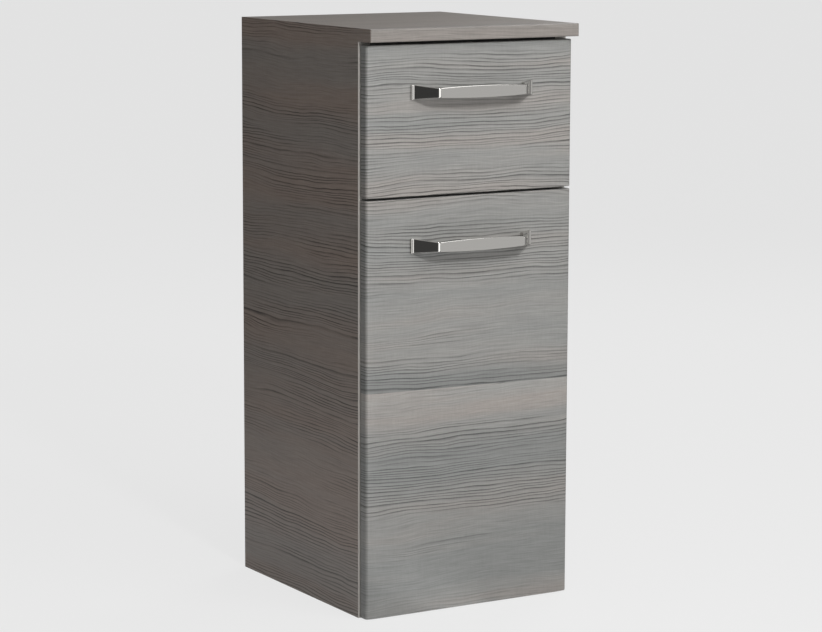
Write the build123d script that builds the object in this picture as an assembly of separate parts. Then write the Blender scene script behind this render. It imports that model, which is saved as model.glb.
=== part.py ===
from build123d import *
import os

# Narrow bathroom base cabinet: one drawer over one door, an overhanging top plate, two chrome bow handles.
# Millimetres. X runs to the right, Y towards the wall, Z up. The origin is the bottom centre of the box.
# Each function makes one kind of piece, and the save calls at the end write one file per named piece.

# Carcass
width = 300.0
height = 730.0
carcass_depth = 305.0
board = 16.0
plate_board = 16.0
plate_overhang = 30.0
band = 1.0
plate_band = 2.0
plate_band_round = 1.6
top_rail_depth = 80.0
hanging_rail_height = 80.0
hanging_rail_drop = 24.0
hanging_dowel_from_edge = 20.0
back_board = 3.0
back_insert = 6.0
groove_play = 0.15
near = 0.01

# Fronts
front_board = 16.0
front_gap = 2.0
front_reveal = 1.5
front_corner = 4.0
front_fall = 1.8
front_fall_width = 20.0
front_inner_corner = 1.0
front_rim = 0.8
gap_under_plate = 4.0
gap_between_fronts = 3.0
gap_at_bottom = 1.0
drawer_front_height = 185.0

# Bow handles
handle_length = 175.0
handle_hole_spacing = 160.0
handle_drop = 58.0
handle_projection = 28.0
handle_foot_height = 18.6
handle_foot_width = 15.0
handle_foot_depth = 6.0
handle_foot_rim = 3.0
handle_bar_length = 127.0
handle_bar_height = 15.0
handle_neck_height = 11.5
handle_bar_thickness = 4.0
handle_bend = 5.0
handle_inner_bend = 3.0
handle_lean = 0.9
handle_screw_radius = 2.0
handle_screw_head_radius = 4.0
handle_screw_head = 2.0
handle_screw_grip = 4.5

# Drawer box and its ball bearing runners
drawer_side_board = 12.0
drawer_side_height = 95.0
drawer_box_length = 250.0
drawer_bottom_board = 4.0
drawer_bottom_raise = 10.0
drawer_bottom_insert = 6.0
drawer_box_lift = 13.0
runner_width = 12.7
runner_height = 45.0
runner_length = 250.0
runner_setback = 4.0
runner_raise = 40.0
runner_sheet = 1.2
runner_travel = 240.0
runner_web_gap = 1.2
runner_flange_gap = 1.6
outer_lip_gap = 2.7
middle_lip_gap = 2.3
runner_screw_radius = 1.75
runner_screw_head_radius = 2.9
runner_access_play = 1.7
runner_cabinet_screw_length = 12.5
runner_drawer_screw_length = 10.0
runner_screw_steps = (1, 4, 7)
ball_radius = 1.75
ball_play = 0.15
cage_sheet = 0.6
cage_web = 0.4
cage_length = 120.0
cage_stop = 4.0
cage_lip_gap = 0.8
balls_per_row = 5
drawer_dowel_radius = 3.0
drawer_dowel_half = 8.0
drawer_dowel_from_bottom = 28.5
drawer_dowel_from_top = 19.0
drawer_screw_from_bottom = 30.0
drawer_screw_from_top = 21.0
drawer_screw_from_side = 33.0
drawer_screw_in_front = 11.0

# Shelf and the rows of holes that carry it
shelf_board = 16.0
shelf_setback = 25.0
shelf_play = 0.5
row_pitch = 32.0
row_first = 164.0
row_count = 7
row_shelf_index = 3
row_inset = 37.0
pin_radius = 2.5
pin_stub_radius = 3.5
pin_depth = 9.0
pin_reach = 7.0

# Carcass connectors
dowel_radius = 4.0
dowel_in_side = 12.0
dowel_in_board = 18.0
cam_radius = 7.5
cam_depth = 12.3
cam_distance = 24.0
cam_bolt_radius = 2.5
cam_bolt_in_side = 11.0
cam_bolt_head_radius = 3.5
cam_bolt_head = 3.0
cam_bolt_bore = 4.0
cam_cross_reach = 4.5
cam_cross_half = 0.75
cam_cross_depth = 2.5
cam_from_edge = 50.0
dowel_from_cam = 32.0
rail_cam_from_edge = 24.0
fit = 0.05
hole_end = 0.5

# Wood screws
plate_screw_radius = 2.0
plate_screw_head_radius = 4.0
plate_screw_length = 28.0
plate_screw_from_side = 67.0
wall_hole_radius = 3.25
wall_hole_spacing = 200.0
wall_access_radius = 6.0

# Concealed hinges, in plan: u runs from the side panel's inner face into the opening, v out of the carcass.
# The links carry the door to 95 degrees: the long links turn by 23.8 degrees and the short link by 43.4.
hinge_from_door_end = 90.0
long_anchor_u = 30.0
long_anchor_v = -18.0
long_pin_u = -11.2
long_pin_v = 2.0
long_bend_u = 6.5
long_bend_v = 1.0
short_anchor_u = 13.1
short_anchor_v = 5.8
short_pin_u = -9.4
short_pin_v = 6.0
short_bend_u = 2.0
short_bend_v = 8.5
cup_radius = 17.5
cup_edge_distance = 3.0
cup_depth = 12.2
cup_wall = 1.0
cup_flange = 1.1
cup_flange_radius = 18.5
cup_screw_spacing = 45.0
cup_screw_shift = 8.0
cup_screw_radius = 1.75
cup_screw_head_radius = 3.5
cup_screw_length = 12.0
cup_ear_inner = 7.9
cup_ear_setback = 0.3
cup_pin_end = 11.0
cup_window_depth = 4.0
cup_window_play = 0.5
cup_wing_radius = 6.5
link_eye = 2.2
short_link_eye = 2.0
link_pin_radius = 1.25
link_pin_play = 0.05
link_open_play = 1.35
arm_half_width = 9.3
arm_sheet = 1.5
arm_height = 11.0
arm_length = 40.0
arm_front = 22.0
cheek_eye = 3.2
nose_half = 5.0
nose_eye = 2.4
short_link_half = 3.0
nose_play = 0.5
long_link_inner = 5.6
long_link_sheet = 1.6
mounting_wing = 2.5
mounting_wing_width = 12.0
mounting_wing_height = 48.0
mounting_spine_half = 6.0
mounting_spine_inset = 2.0
mounting_screw_radius = 2.5
mounting_screw_length = 11.0
mounting_screw_head_radius = 4.5
adjusting_screw_radius = 2.5
adjusting_screw_head_radius = 3.5
adjusting_screw_head = 1.2
adjusting_screw_length = 7.0
adjusting_screw_slot_half = 0.5
adjusting_screw_from_end = 10.0

# Soft stops
bumper_radius = 4.0
bumper_clearance = 0.3
bumper_inset = 7.0
bumper_from_end = 16.0

# Places worked out from the sizes above
front_stack = front_gap + front_board
overall_depth = carcass_depth + max(front_stack + handle_projection, plate_overhang)
x_out = width / 2
x_in = x_out - board
y_wall = overall_depth / 2
y_front = y_wall - carcass_depth
y_face_back = y_front - front_gap
y_face = y_face_back - front_board
y_plate = y_front - plate_overhang
y_back_rear = y_wall - board
y_back_front = y_back_rear - back_board
z_plate = height - plate_board
z_drawer_top = z_plate - gap_under_plate
z_drawer_low = z_drawer_top - drawer_front_height
z_door_top = z_drawer_low - gap_between_fronts
z_door_low = gap_at_bottom
z_divider_top = (z_drawer_low + z_door_top) / 2 + board / 2
z_divider_low = z_divider_top - board
z_rail_low = z_plate - board
z_hang_top = z_plate - hanging_rail_drop
z_hang_low = z_hang_top - hanging_rail_height
z_wall_screw = (z_hang_low + z_hang_top) / 2
x_face = x_out - front_reveal
x_hole = handle_hole_spacing / 2
z_drawer_handle = z_drawer_top - handle_drop
z_door_handle = z_door_top - handle_drop
x_box = x_in - runner_width
x_box_in = x_box - drawer_side_board
y_box_rear = y_face_back + drawer_box_length
z_box_low = z_divider_top + drawer_box_lift
z_box_top = z_box_low + drawer_side_height
z_runner = z_box_low + runner_raise
y_runner = y_front + runner_setback
cage_front = runner_travel / 4 + cage_stop
z_shelf_pin = row_first + row_pitch * row_shelf_index
z_shelf = z_shelf_pin + pin_radius
row_depths = (y_front + row_inset, y_back_front - row_inset)
hinge_heights = (z_door_low + hinge_from_door_end, z_door_top - hinge_from_door_end)


def block(x0, x1, y0, y1, z0, z1):
    """A box between two corners."""
    middle = Pos((x0 + x1) / 2, (y0 + y1) / 2, (z0 + z1) / 2)
    return middle * Box(abs(x1 - x0), abs(y1 - y0), abs(z1 - z0))


def rod(radius, start, end):
    """A round bar between two points that differ along one axis."""
    way = Vector(*end) - Vector(*start)
    plane = Plane(origin=start, z_dir=way.normalized())
    return plane * Cylinder(radius, way.length, align=(Align.CENTER, Align.CENTER, Align.MIN))


def taper(wide, narrow, start, end):
    """A countersunk head: a cone from a wide end to a narrow end."""
    way = Vector(*end) - Vector(*start)
    plane = Plane(origin=start, z_dir=way.normalized())
    return plane * Cone(wide, narrow, way.length, align=(Align.CENTER, Align.CENTER, Align.MIN))


def wood_screw(shank, head, start, end):
    """A countersunk screw whose flat head starts at the first point."""
    way = (Vector(*end) - Vector(*start)).normalized()
    head_end = tuple(Vector(*start) + way * (head - shank))
    return rod(shank, start, end) + taper(head, shank, start, head_end)


def save(name, pieces):
    """Write one named piece, or one group of like pieces."""
    shape = Compound(pieces) if isinstance(pieces, list) else pieces
    shape.label = name
    export_step(shape, f"parts/{name}.step")


# Connectors of the carcass: where each board's end meets a side, as depth and height
def board_joints(y0, y1, z_middle, from_edge):
    """Cams near both edges of a board's end, and dowels next to them."""
    cams = [(y0 + from_edge, z_middle), (y1 - from_edge, z_middle)]
    dowels = [(y0 + from_edge + dowel_from_cam, z_middle), (y1 - from_edge - dowel_from_cam, z_middle)]
    return cams, dowels


def rail_joints(y0, y1, z_middle):
    """One cam and one dowel in the end of a narrow rail."""
    cam = (y0 + rail_cam_from_edge, z_middle)
    dowel = (y0 + rail_cam_from_edge + dowel_from_cam, z_middle)
    return [cam], [dowel]


bottom_joints = board_joints(y_front, y_back_front, board / 2, cam_from_edge)
divider_joints = board_joints(y_front, y_back_front, z_divider_low + board / 2, cam_from_edge)
front_rail_joints = rail_joints(y_front, y_front + top_rail_depth, z_rail_low + board / 2)
rear_rail_joints = rail_joints(y_back_front - top_rail_depth, y_back_front, z_rail_low + board / 2)
hanging_dowels = [
    (y_wall - board / 2, z_hang_low + hanging_dowel_from_edge),
    (y_wall - board / 2, z_hang_top - hanging_dowel_from_edge),
]
board_joint_sets = (bottom_joints, divider_joints, front_rail_joints, rear_rail_joints)
all_cams = [point for cams, dowels in board_joint_sets for point in cams]
all_dowels = [point for cams, dowels in board_joint_sets for point in dowels] + hanging_dowels


def cam_bolt(side, y, z):
    """The headed bolt that a cam pulls on: threaded into the side, headed inside the cam."""
    thread_end = (side * (x_in + cam_bolt_in_side), y, z)
    neck = (side * (x_in - cam_distance + cam_bolt_head), y, z)
    head = (side * (x_in - cam_distance), y, z)
    return rod(cam_bolt_radius, neck, thread_end) + rod(cam_bolt_head_radius, head, neck)


def cam_disc(side, y, z):
    """A drum with a slot for the bolt's head and a cross for the driver, let in from below."""
    x = side * (x_in - cam_distance)
    low = z - board / 2
    drum = rod(cam_radius - fit, (x, y, low), (x, y, low + cam_depth))
    way_in = rod(cam_bolt_bore, (x - side * cam_bolt_bore, y, z), (side * x_in, y, z))
    reach = cam_cross_reach
    half = cam_cross_half
    cross = block(x - reach, x + reach, y - half, y + half, low, low + cam_cross_depth)
    cross += block(x - half, x + half, y - reach, y + reach, low, low + cam_cross_depth)
    return drum - way_in - cross


def drill_ends(panel, joints):
    """Bores for cams and dowels at both ends of a board."""
    cams, dowels = joints
    for side in (-1, 1):
        for y, z in cams:
            x = side * (x_in - cam_distance)
            panel -= rod(cam_bolt_bore, (x, y, z), (side * x_in, y, z))
            panel -= rod(cam_radius, (x, y, z - board / 2), (x, y, z - board / 2 + cam_depth))
        for y, z in dowels:
            deep = (side * (x_in - dowel_in_board - hole_end), y, z)
            panel -= rod(dowel_radius, deep, (side * x_in, y, z))
    return panel


# Side panels
def side_panel(side):
    """One side: back groove, rows of shelf holes, and the bores for connectors, runner and hinges."""
    panel = block(side * x_in, side * x_out, y_front + band, y_wall, 0, z_plate)
    groove_floor = side * (x_in + back_insert + groove_play)
    groove = (y_back_front - groove_play, y_back_rear + groove_play)
    panel -= block(side * x_in, groove_floor, groove[0], groove[1], board - back_insert, z_plate)
    for y in row_depths:
        for step in range(row_count):
            z = row_first + row_pitch * step
            deep = (side * (x_in + pin_depth + hole_end), y, z)
            panel -= rod(pin_radius, (side * x_in, y, z), deep)
    for y, z in all_cams:
        deep = (side * (x_in + cam_bolt_in_side + hole_end), y, z)
        panel -= rod(cam_bolt_radius + fit, (side * x_in, y, z), deep)
    for y, z in all_dowels:
        deep = (side * (x_in + dowel_in_side + hole_end), y, z)
        panel -= rod(dowel_radius, (side * x_in, y, z), deep)
    for y in runner_screw_places:
        deep = (side * (x_in + runner_cabinet_screw_length + hole_end), y, z_runner)
        panel -= rod(runner_screw_radius + fit, (side * x_in, y, z_runner), deep)
    if side > 0:
        for z in hinge_heights:
            for shift in (-row_pitch / 2, row_pitch / 2):
                y = y_front + row_inset
                deep = (side * (x_in + mounting_screw_length + hole_end), y, z + shift)
                panel -= rod(mounting_screw_radius + fit, (side * x_in, y, z + shift), deep)
    return panel


def front_band(x0, x1, z0, z1):
    """The plastic strip on a board's front edge."""
    return block(x0, x1, y_front, y_front + band, z0, z1)


# Boards between the sides
def bottom_panel():
    """The cabinet's floor, grooved for the back."""
    panel = block(-x_in, x_in, y_front + band, y_wall, 0, board)
    groove = (y_back_front - groove_play, y_back_rear + groove_play)
    panel -= block(-x_in, x_in, groove[0], groove[1], board - back_insert - groove_play, board)
    return drill_ends(panel, bottom_joints)


def divider_panel():
    """The fixed board between the drawer and the door."""
    panel = block(-x_in, x_in, y_front + band, y_back_front, z_divider_low, z_divider_top)
    return drill_ends(panel, divider_joints)


def top_rail(y0, y1, joints):
    """A flat rail under the top plate, with two screw holes."""
    rail = drill_ends(block(-x_in, x_in, y0, y1, z_rail_low, z_plate), joints)
    for x, y in plate_screw_places:
        if y0 < y < y1:
            rail -= rod(plate_screw_radius + fit, (x, y, z_rail_low), (x, y, z_plate))
            sink = (x, y, z_rail_low + plate_screw_head_radius - plate_screw_radius)
            start = (x, y, z_rail_low)
            rail -= taper(plate_screw_head_radius + fit, plate_screw_radius + fit, start, sink)
    return rail


plate_screw_places = [
    (side * (x_in - plate_screw_from_side), y)
    for side in (-1, 1)
    for y in (y_front + top_rail_depth / 2, y_back_front - top_rail_depth / 2)
]


def hanging_rail():
    """The upright rail behind the back that the wall screws pass through."""
    rail = block(-x_in, x_in, y_back_rear, y_wall, z_hang_low, z_hang_top)
    for side in (-1, 1):
        x = side * wall_hole_spacing / 2
        rail -= rod(wall_hole_radius, (x, y_back_rear, z_wall_screw), (x, y_wall, z_wall_screw))
        for y, z_dowel in hanging_dowels:
            deep = (side * (x_in - dowel_in_board - hole_end), y, z_dowel)
            rail -= rod(dowel_radius, deep, (side * x_in, y, z_dowel))
    return rail


def back_panel():
    """Thin hardboard in the grooves, with two holes for the wall screws' heads."""
    panel = block(
        -x_in - back_insert, x_in + back_insert, y_back_front, y_back_rear, board - back_insert, z_plate
    )
    for side in (-1, 1):
        x = side * wall_hole_spacing / 2
        panel -= rod(wall_access_radius, (x, y_back_front, z_wall_screw), (x, y_back_rear, z_wall_screw))
    return panel


def top_plate():
    """The top plate, flush with the sides and overhanging the fronts."""
    plate = block(-x_out, x_out, y_plate + plate_band, y_wall, z_plate, height)
    for x, y in plate_screw_places:
        plate -= rod(plate_screw_radius + fit, (x, y, z_plate), (x, y, plate_screw_tip + hole_end))
    return plate


def top_plate_band():
    """The plate's thicker front strip, with rounded edges all round its front."""
    strip = block(-x_out, x_out, y_plate, y_plate + plate_band, z_plate, height)
    return fillet(strip.faces().sort_by(Axis.Y)[0].edges(), plate_band_round)


plate_screw_tip = z_rail_low + plate_screw_length


# Shelf
def shelf_panel():
    """A loose shelf on four pins."""
    half = x_in - shelf_play
    y0 = y_front + shelf_setback + band
    return block(-half, half, y0, y_back_front - shelf_play, z_shelf, z_shelf + shelf_board)


def shelf_band():
    """The shelf's front edge strip."""
    half = x_in - shelf_play
    y0 = y_front + shelf_setback
    return block(-half, half, y0, y0 + band, z_shelf, z_shelf + shelf_board)


def shelf_pin(side, y):
    """A round pin in a row hole, with a wider stub under the shelf that is cut flat on top."""
    tail = rod(pin_radius - fit, (side * x_in, y, z_shelf_pin), (side * (x_in + pin_depth), y, z_shelf_pin))
    stub = rod(pin_stub_radius, (side * (x_in - pin_reach), y, z_shelf_pin), (side * x_in, y, z_shelf_pin))
    over = block(side * (x_in - pin_reach), side * x_in, y - pin_stub_radius, y + pin_stub_radius,
                 z_shelf, z_shelf + pin_stub_radius)
    return tail + (stub - over)


# Fronts
def front_plan():
    """A front board in plan: flat, then falling away in a wide arc to each rounded upright edge."""
    x_flat = x_face - front_fall_width
    y_fallen = y_face + front_fall
    outline = [
        Line((-x_flat, y_face), (x_flat, y_face)),
        TangentArc((x_flat, y_face), (x_face, y_fallen), tangent=(1, 0)),
        Line((x_face, y_fallen), (x_face, y_face_back)),
        Line((x_face, y_face_back), (-x_face, y_face_back)),
        Line((-x_face, y_face_back), (-x_face, y_fallen)),
        TangentArc((-x_flat, y_face), (-x_face, y_fallen), tangent=(-1, 0)),
    ]
    plan = make_face(Curve() + outline)
    outer = [point for point in plan.vertices() if abs(point.Y - y_fallen) < near]
    plan = fillet(outer, front_corner)
    inner = [point for point in plan.vertices() if abs(point.Y - y_face_back) < near]
    return fillet(inner, front_inner_corner)


def front_panel(z0, z1, holes_z):
    """A front board with soft edges all round and two holes for its handle."""
    panel = Pos(0, 0, z0) * extrude(front_plan(), amount=z1 - z0)
    middle = (z0 + z1) / 2
    rim = panel.edges().filter_by(lambda edge: abs(abs(edge.center().Z - middle) - (z1 - z0) / 2) < near)
    panel = fillet(rim, front_rim)
    for x in (-x_hole, x_hole):
        panel -= rod(handle_screw_radius + fit, (x, y_face, holes_z), (x, y_face_back, holes_z))
    return panel


def door_panel():
    """The door, with the blind bores for the hinge cups and their screws."""
    panel = front_panel(z_door_low, z_door_top, z_door_handle)
    cup_x = x_in - cup_u
    for z in hinge_heights:
        panel -= rod(cup_radius, (cup_x, y_face_back, z), (cup_x, y_face_back - cup_depth - hole_end, z))
        for shift in (-cup_screw_spacing / 2, cup_screw_spacing / 2):
            panel -= at_hinge(cup_screw(shift, fit), z)
    return panel


def drawer_front_panel():
    """The drawer's front board, with pilot holes for the screws that hold it to the box."""
    panel = front_panel(z_drawer_low, z_drawer_top, z_drawer_handle)
    for x, z in front_screw_places:
        panel -= rod(plate_screw_radius + fit, (x, y_face_back, z), (x, front_screw_tip - hole_end, z))
    return panel


# Handles
def bow_handle(z_middle):
    """A cast bow: tall feet, legs that narrow as they lean in, and a flat bar that swells at its middle."""
    half = handle_length / 2
    bar_half = handle_bar_length / 2
    foot_in = half - handle_foot_width
    lean = handle_bar_thickness * handle_lean
    front = y_face - handle_projection
    right_side = [
        (foot_in, y_face),
        (half, y_face),
        (half, y_face - handle_foot_rim),
        (bar_half, front),
    ]
    inside = [
        (bar_half - lean, front + handle_bar_thickness),
        (foot_in, y_face - handle_foot_depth),
    ]
    left_side = [(-x, y) for x, y in reversed(right_side)]
    inside_left = [(-x, y) for x, y in reversed(inside)]
    outline = right_side + left_side + inside_left + inside
    plan = make_face(Polyline(*outline, close=True))
    bends = [point for point in plan.vertices() if abs(point.Y - front) < near]
    plan = fillet(bends, handle_bend)
    hollows = [point for point in plan.vertices() if abs(point.Y - front - handle_bar_thickness) < near]
    plan = fillet(hollows, handle_inner_bend)
    bow = extrude(plan, amount=handle_foot_height / 2, both=True)
    rise = handle_foot_height / 2
    neck = handle_neck_height / 2
    swell = handle_bar_height / 2
    top = [Line((half, -rise), (half, rise)), Line((half, rise), (bar_half, neck))]
    top.append(ThreePointArc((bar_half, neck), (0, swell), (-bar_half, neck)))
    low = [Line((-bar_half, neck), (-half, rise)), Line((-half, rise), (-half, -rise))]
    low.append(Line((-half, -rise), (-bar_half, -neck)))
    low.append(ThreePointArc((-bar_half, -neck), (0, -swell), (bar_half, -neck)))
    low.append(Line((bar_half, -neck), (half, -rise)))
    elevation = Plane.XZ * make_face(Curve() + top + low)
    bow = bow & extrude(elevation, amount=overall_depth, both=True)
    bow = Pos(0, 0, z_middle) * bow
    for x in (-x_hole, x_hole):
        end = y_face - handle_screw_grip - hole_end
        bow -= rod(handle_screw_radius + fit, (x, y_face, z_middle), (x, end, z_middle))
    return bow


def handle_screw(x, z_middle):
    """A machine screw through the front board into a handle's foot, with a round head inside."""
    tip = y_face - handle_screw_grip
    seat = (x, y_face_back, z_middle)
    head = rod(handle_screw_head_radius, (x, y_face_back + handle_screw_head, z_middle), seat)
    return head + rod(handle_screw_radius, seat, (x, tip, z_middle))


# Drawer box
def drawer_side(side):
    """One side of the drawer box, grooved for the bottom."""
    panel = block(side * x_box_in, side * x_box, y_face_back, y_box_rear, z_box_low, z_box_top)
    panel -= drawer_groove()
    for y in runner_screw_places:
        deep = (side * drawer_screw_deep, y, z_runner)
        panel -= rod(runner_screw_radius + fit, (side * x_box, y, z_runner), deep)
    for x_dowel, y, z in drawer_dowel_places(side):
        x_deep = x_dowel + side * (drawer_dowel_half + hole_end)
        panel -= rod(drawer_dowel_radius, (x_dowel, y, z), (x_deep, y, z))
    return panel


def drawer_groove():
    """The space of the drawer's bottom sheet with its play."""
    z0 = z_box_low + drawer_bottom_raise - groove_play
    z1 = z_box_low + drawer_bottom_raise + drawer_bottom_board + groove_play
    reach = x_box_in + drawer_bottom_insert + groove_play
    y0 = y_face_back + drawer_side_board - drawer_bottom_insert - groove_play
    return block(-reach, reach, y0, y_box_rear, z0, z1)


def drawer_bottom():
    """The drawer's bottom sheet, in the grooves of the sides and the inner front, under the back."""
    z0 = z_box_low + drawer_bottom_raise
    reach = x_box_in + drawer_bottom_insert
    y0 = y_face_back + drawer_side_board - drawer_bottom_insert
    return block(-reach, reach, y0, y_box_rear, z0, z0 + drawer_bottom_board)


def drawer_cross_board(y0, z0, screws):
    """A board between the drawer's sides: the inner front or the back."""
    panel = block(-x_box_in, x_box_in, y0, y0 + drawer_side_board, z0, z_box_top)
    panel -= drawer_groove()
    if screws:
        for x, z in front_screw_places:
            panel -= rod(plate_screw_radius + fit, (x, y0, z), (x, y0 + drawer_side_board, z))
            start = (x, y0 + drawer_side_board, z)
            sink = (x, y0 + drawer_side_board - plate_screw_head_radius + plate_screw_radius, z)
            panel -= taper(plate_screw_head_radius + fit, plate_screw_radius + fit, start, sink)
    for side in (-1, 1):
        for x_dowel, y, z in drawer_dowel_places(side):
            if y0 < y < y0 + drawer_side_board:
                x_deep = x_dowel - side * (drawer_dowel_half * 2 + hole_end)
                panel -= rod(drawer_dowel_radius, (x_dowel, y, z), (x_deep, y, z))
    return panel


drawer_back_low = z_box_low + drawer_bottom_raise + drawer_bottom_board + groove_play
drawer_dowel_rows = (z_box_low + drawer_dowel_from_bottom, z_box_top - drawer_dowel_from_top)


def drawer_dowel_places(side):
    """Where dowels cross from the drawer's sides into its inner front and back."""
    depths = (y_face_back + drawer_side_board / 2, y_box_rear - drawer_side_board / 2)
    return [(side * x_box_in, y, z) for y in depths for z in drawer_dowel_rows]


def drawer_dowel(side, place):
    """A short dowel, half as deep in the drawer's side as in the cross board."""
    x, y, z = place
    radius = drawer_dowel_radius - fit
    return rod(radius, (x - side * drawer_dowel_half * 2, y, z), (x + side * drawer_dowel_half, y, z))


front_screw_places = [
    (side * (x_box_in - drawer_screw_from_side), z)
    for side in (-1, 1)
    for z in (z_box_low + drawer_screw_from_bottom, z_box_top - drawer_screw_from_top)
]
front_screw_tip = y_face_back - drawer_screw_in_front


# Runners: three nested channels, with a cage of balls in each gap
runner_screw_places = [y_runner + row_pitch * step for step in runner_screw_steps]
drawer_screw_deep = x_box - runner_drawer_screw_length - hole_end
ball_gap = 2 * (ball_radius + ball_play)
outer_half = runner_height / 2
middle_half = outer_half - runner_sheet - ball_gap
inner_half = middle_half - runner_sheet - ball_gap
middle_web = runner_sheet + runner_web_gap
outer_lip = runner_width - outer_lip_gap
middle_lip = runner_width - middle_lip_gap
inner_flange = middle_web + runner_sheet + runner_flange_gap
outer_strip = outer_lip - cage_lip_gap
inner_strip = middle_lip - cage_lip_gap
outer_ball_u = (middle_web + outer_strip) / 2
inner_ball_u = (inner_flange + inner_strip) / 2


def from_side(side, u0, u1, y0, y1, z0, z1):
    """A box placed by its distance in from a side panel's inner face."""
    return block(side * (x_in - u0), side * (x_in - u1), y0, y1, z0, z1)


def channel(side, web0, web1, flange_end, half):
    """A runner member: an upright web with a flange above and below."""
    y0 = y_runner
    y1 = y_runner + runner_length
    shape = from_side(side, web0, web1, y0, y1, z_runner - half, z_runner + half)
    for sign in (-1, 1):
        edge = z_runner + sign * half
        shape += from_side(side, web0, flange_end, y0, y1, edge - sign * runner_sheet, edge)
    return shape


def runner_outer(side):
    """The member on the cabinet's side, with countersunk screw holes."""
    shape = channel(side, 0, runner_sheet, outer_lip, outer_half)
    for y in runner_screw_places:
        shape -= runner_cabinet_screw(side, y, fit)
    return shape


def runner_middle(side):
    """The member that runs half as far as the drawer, with holes to reach the screws."""
    shape = channel(side, middle_web, middle_web + runner_sheet, middle_lip, middle_half)
    for y in runner_screw_places:
        start = (side * (x_in - middle_web), y, z_runner)
        end = (side * (x_in - middle_web - runner_sheet), y, z_runner)
        shape -= rod(runner_screw_head_radius + runner_access_play, start, end)
    return shape


def runner_inner(side):
    """The member on the drawer's side, open towards the cabinet."""
    shape = channel(side, runner_width, runner_width - runner_sheet, inner_flange, inner_half)
    for y in runner_screw_places:
        shape -= runner_drawer_screw(side, y, fit)
    return shape


def runner_cabinet_screw(side, y, extra):
    """A screw from the outer member into the cabinet's side, its head flush with the web."""
    start = (side * (x_in - runner_sheet), y, z_runner)
    neck = (side * x_in, y, z_runner)
    end = (side * (x_in + runner_cabinet_screw_length), y, z_runner)
    head = taper(runner_screw_head_radius + extra, runner_screw_radius + extra, start, neck)
    return head + rod(runner_screw_radius + extra, start, end)


def runner_drawer_screw(side, y, extra):
    """A screw from the inner member into the drawer's side, its head flush with the web."""
    start = (side * (x_box + runner_sheet), y, z_runner)
    neck = (side * x_box, y, z_runner)
    end = (side * (x_box - runner_drawer_screw_length), y, z_runner)
    head = taper(runner_screw_head_radius + extra, runner_screw_radius + extra, start, neck)
    return head + rod(runner_screw_radius + extra, start, end)


def ball_places(side, ball_u, row_half):
    """Centres of a cage's balls, in an upper and a lower row."""
    pitch = cage_length / balls_per_row
    depths = [y_runner + cage_front + pitch * (step + 0.5) for step in range(balls_per_row)]
    return [(side * (x_in - ball_u), y, z_runner + sign * row_half) for sign in (-1, 1) for y in depths]


def ball_cage(side, web_u, strip_end, ball_u, row_half):
    """A bent strip with a hole for each ball."""
    y0 = y_runner + cage_front
    y1 = y0 + cage_length
    reach = row_half + cage_sheet / 2
    shape = from_side(side, web_u, web_u + cage_web, y0, y1, z_runner - reach, z_runner + reach)
    for sign in (-1, 1):
        z = z_runner + sign * row_half
        shape += from_side(side, web_u, strip_end, y0, y1, z - cage_sheet / 2, z + cage_sheet / 2)
    for x, y, z in ball_places(side, ball_u, row_half):
        shape -= rod(ball_radius + ball_play / 2, (x, y, z - ball_radius), (x, y, z + ball_radius))
    return shape


outer_row_half = middle_half + ball_gap / 2
inner_row_half = inner_half + ball_gap / 2
outer_cage_u = runner_sheet + (runner_web_gap - cage_web) / 2
inner_cage_u = middle_web + runner_sheet + (inner_flange - middle_web - runner_sheet - cage_web) / 2


# Hinges, each made in plan round its own middle height and then set at the right side panel
cup_u = -board + front_reveal + cup_edge_distance + cup_radius
door_back_v = front_gap


def in_cup(u, v):
    """A plan point given from the cup's centre and the door's back."""
    return (cup_u + u, door_back_v + v)


long_link_anchor = (long_anchor_u, long_anchor_v)
long_link_cup = in_cup(long_pin_u, long_pin_v)
long_link_bend = in_cup(long_bend_u, long_bend_v)
short_link_anchor = (short_anchor_u, short_anchor_v)
short_link_cup = in_cup(short_pin_u, short_pin_v)
short_link_bend = in_cup(short_bend_u, short_bend_v)


def at_hinge(shape, z):
    """Set a piece made in hinge plan coordinates at its place on the right side."""
    return Pos(x_in, y_front, z) * Rot(0, 0, 180) * shape


def pill(start, end, radius, z0, z1):
    """A flat bar with round ends between two plan points."""
    along = Vector(end[0] - start[0], end[1] - start[1], 0)
    plane = Plane(origin=(start[0], start[1], z0), x_dir=along.normalized(), z_dir=(0, 0, 1))
    bar = Box(along.length, 2 * radius, z1 - z0, align=(Align.MIN, Align.CENTER, Align.MIN))
    caps = rod(radius, (start[0], start[1], z0), (start[0], start[1], z1))
    caps += rod(radius, (end[0], end[1], z0), (end[0], end[1], z1))
    return plane * bar + caps


def pin_hole(point, radius, z0, z1):
    """A round hole or pin at a plan point."""
    return rod(radius, (point[0], point[1], z0), (point[0], point[1], z1))


def mounting_plate():
    """The plate on the side panel: two wings for the screws and a spine for the arm."""
    wing_v = (-row_inset - mounting_wing_width / 2, -row_inset + mounting_wing_width / 2)
    wing_half = mounting_wing_height / 2
    plate = block(0, mounting_wing, wing_v[0], wing_v[1], -wing_half, wing_half)
    spine_end = arm_height - arm_sheet
    spine_rear = mounting_spine_inset - arm_front - arm_length
    spine_front = -arm_front - mounting_spine_inset
    plate += block(0, spine_end, spine_rear, spine_front, -mounting_spine_half, mounting_spine_half)
    for shift in (-row_pitch / 2, row_pitch / 2):
        plate -= mounting_screw(shift, fit)
    for v in adjusting_screw_places:
        deep = (spine_end - adjusting_screw_length - hole_end, v, 0)
        plate -= rod(adjusting_screw_radius + fit, deep, (spine_end, v, 0))
    return plate


adjusting_screw_places = (
    -arm_front - adjusting_screw_from_end,
    adjusting_screw_from_end - arm_front - arm_length,
)


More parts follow.
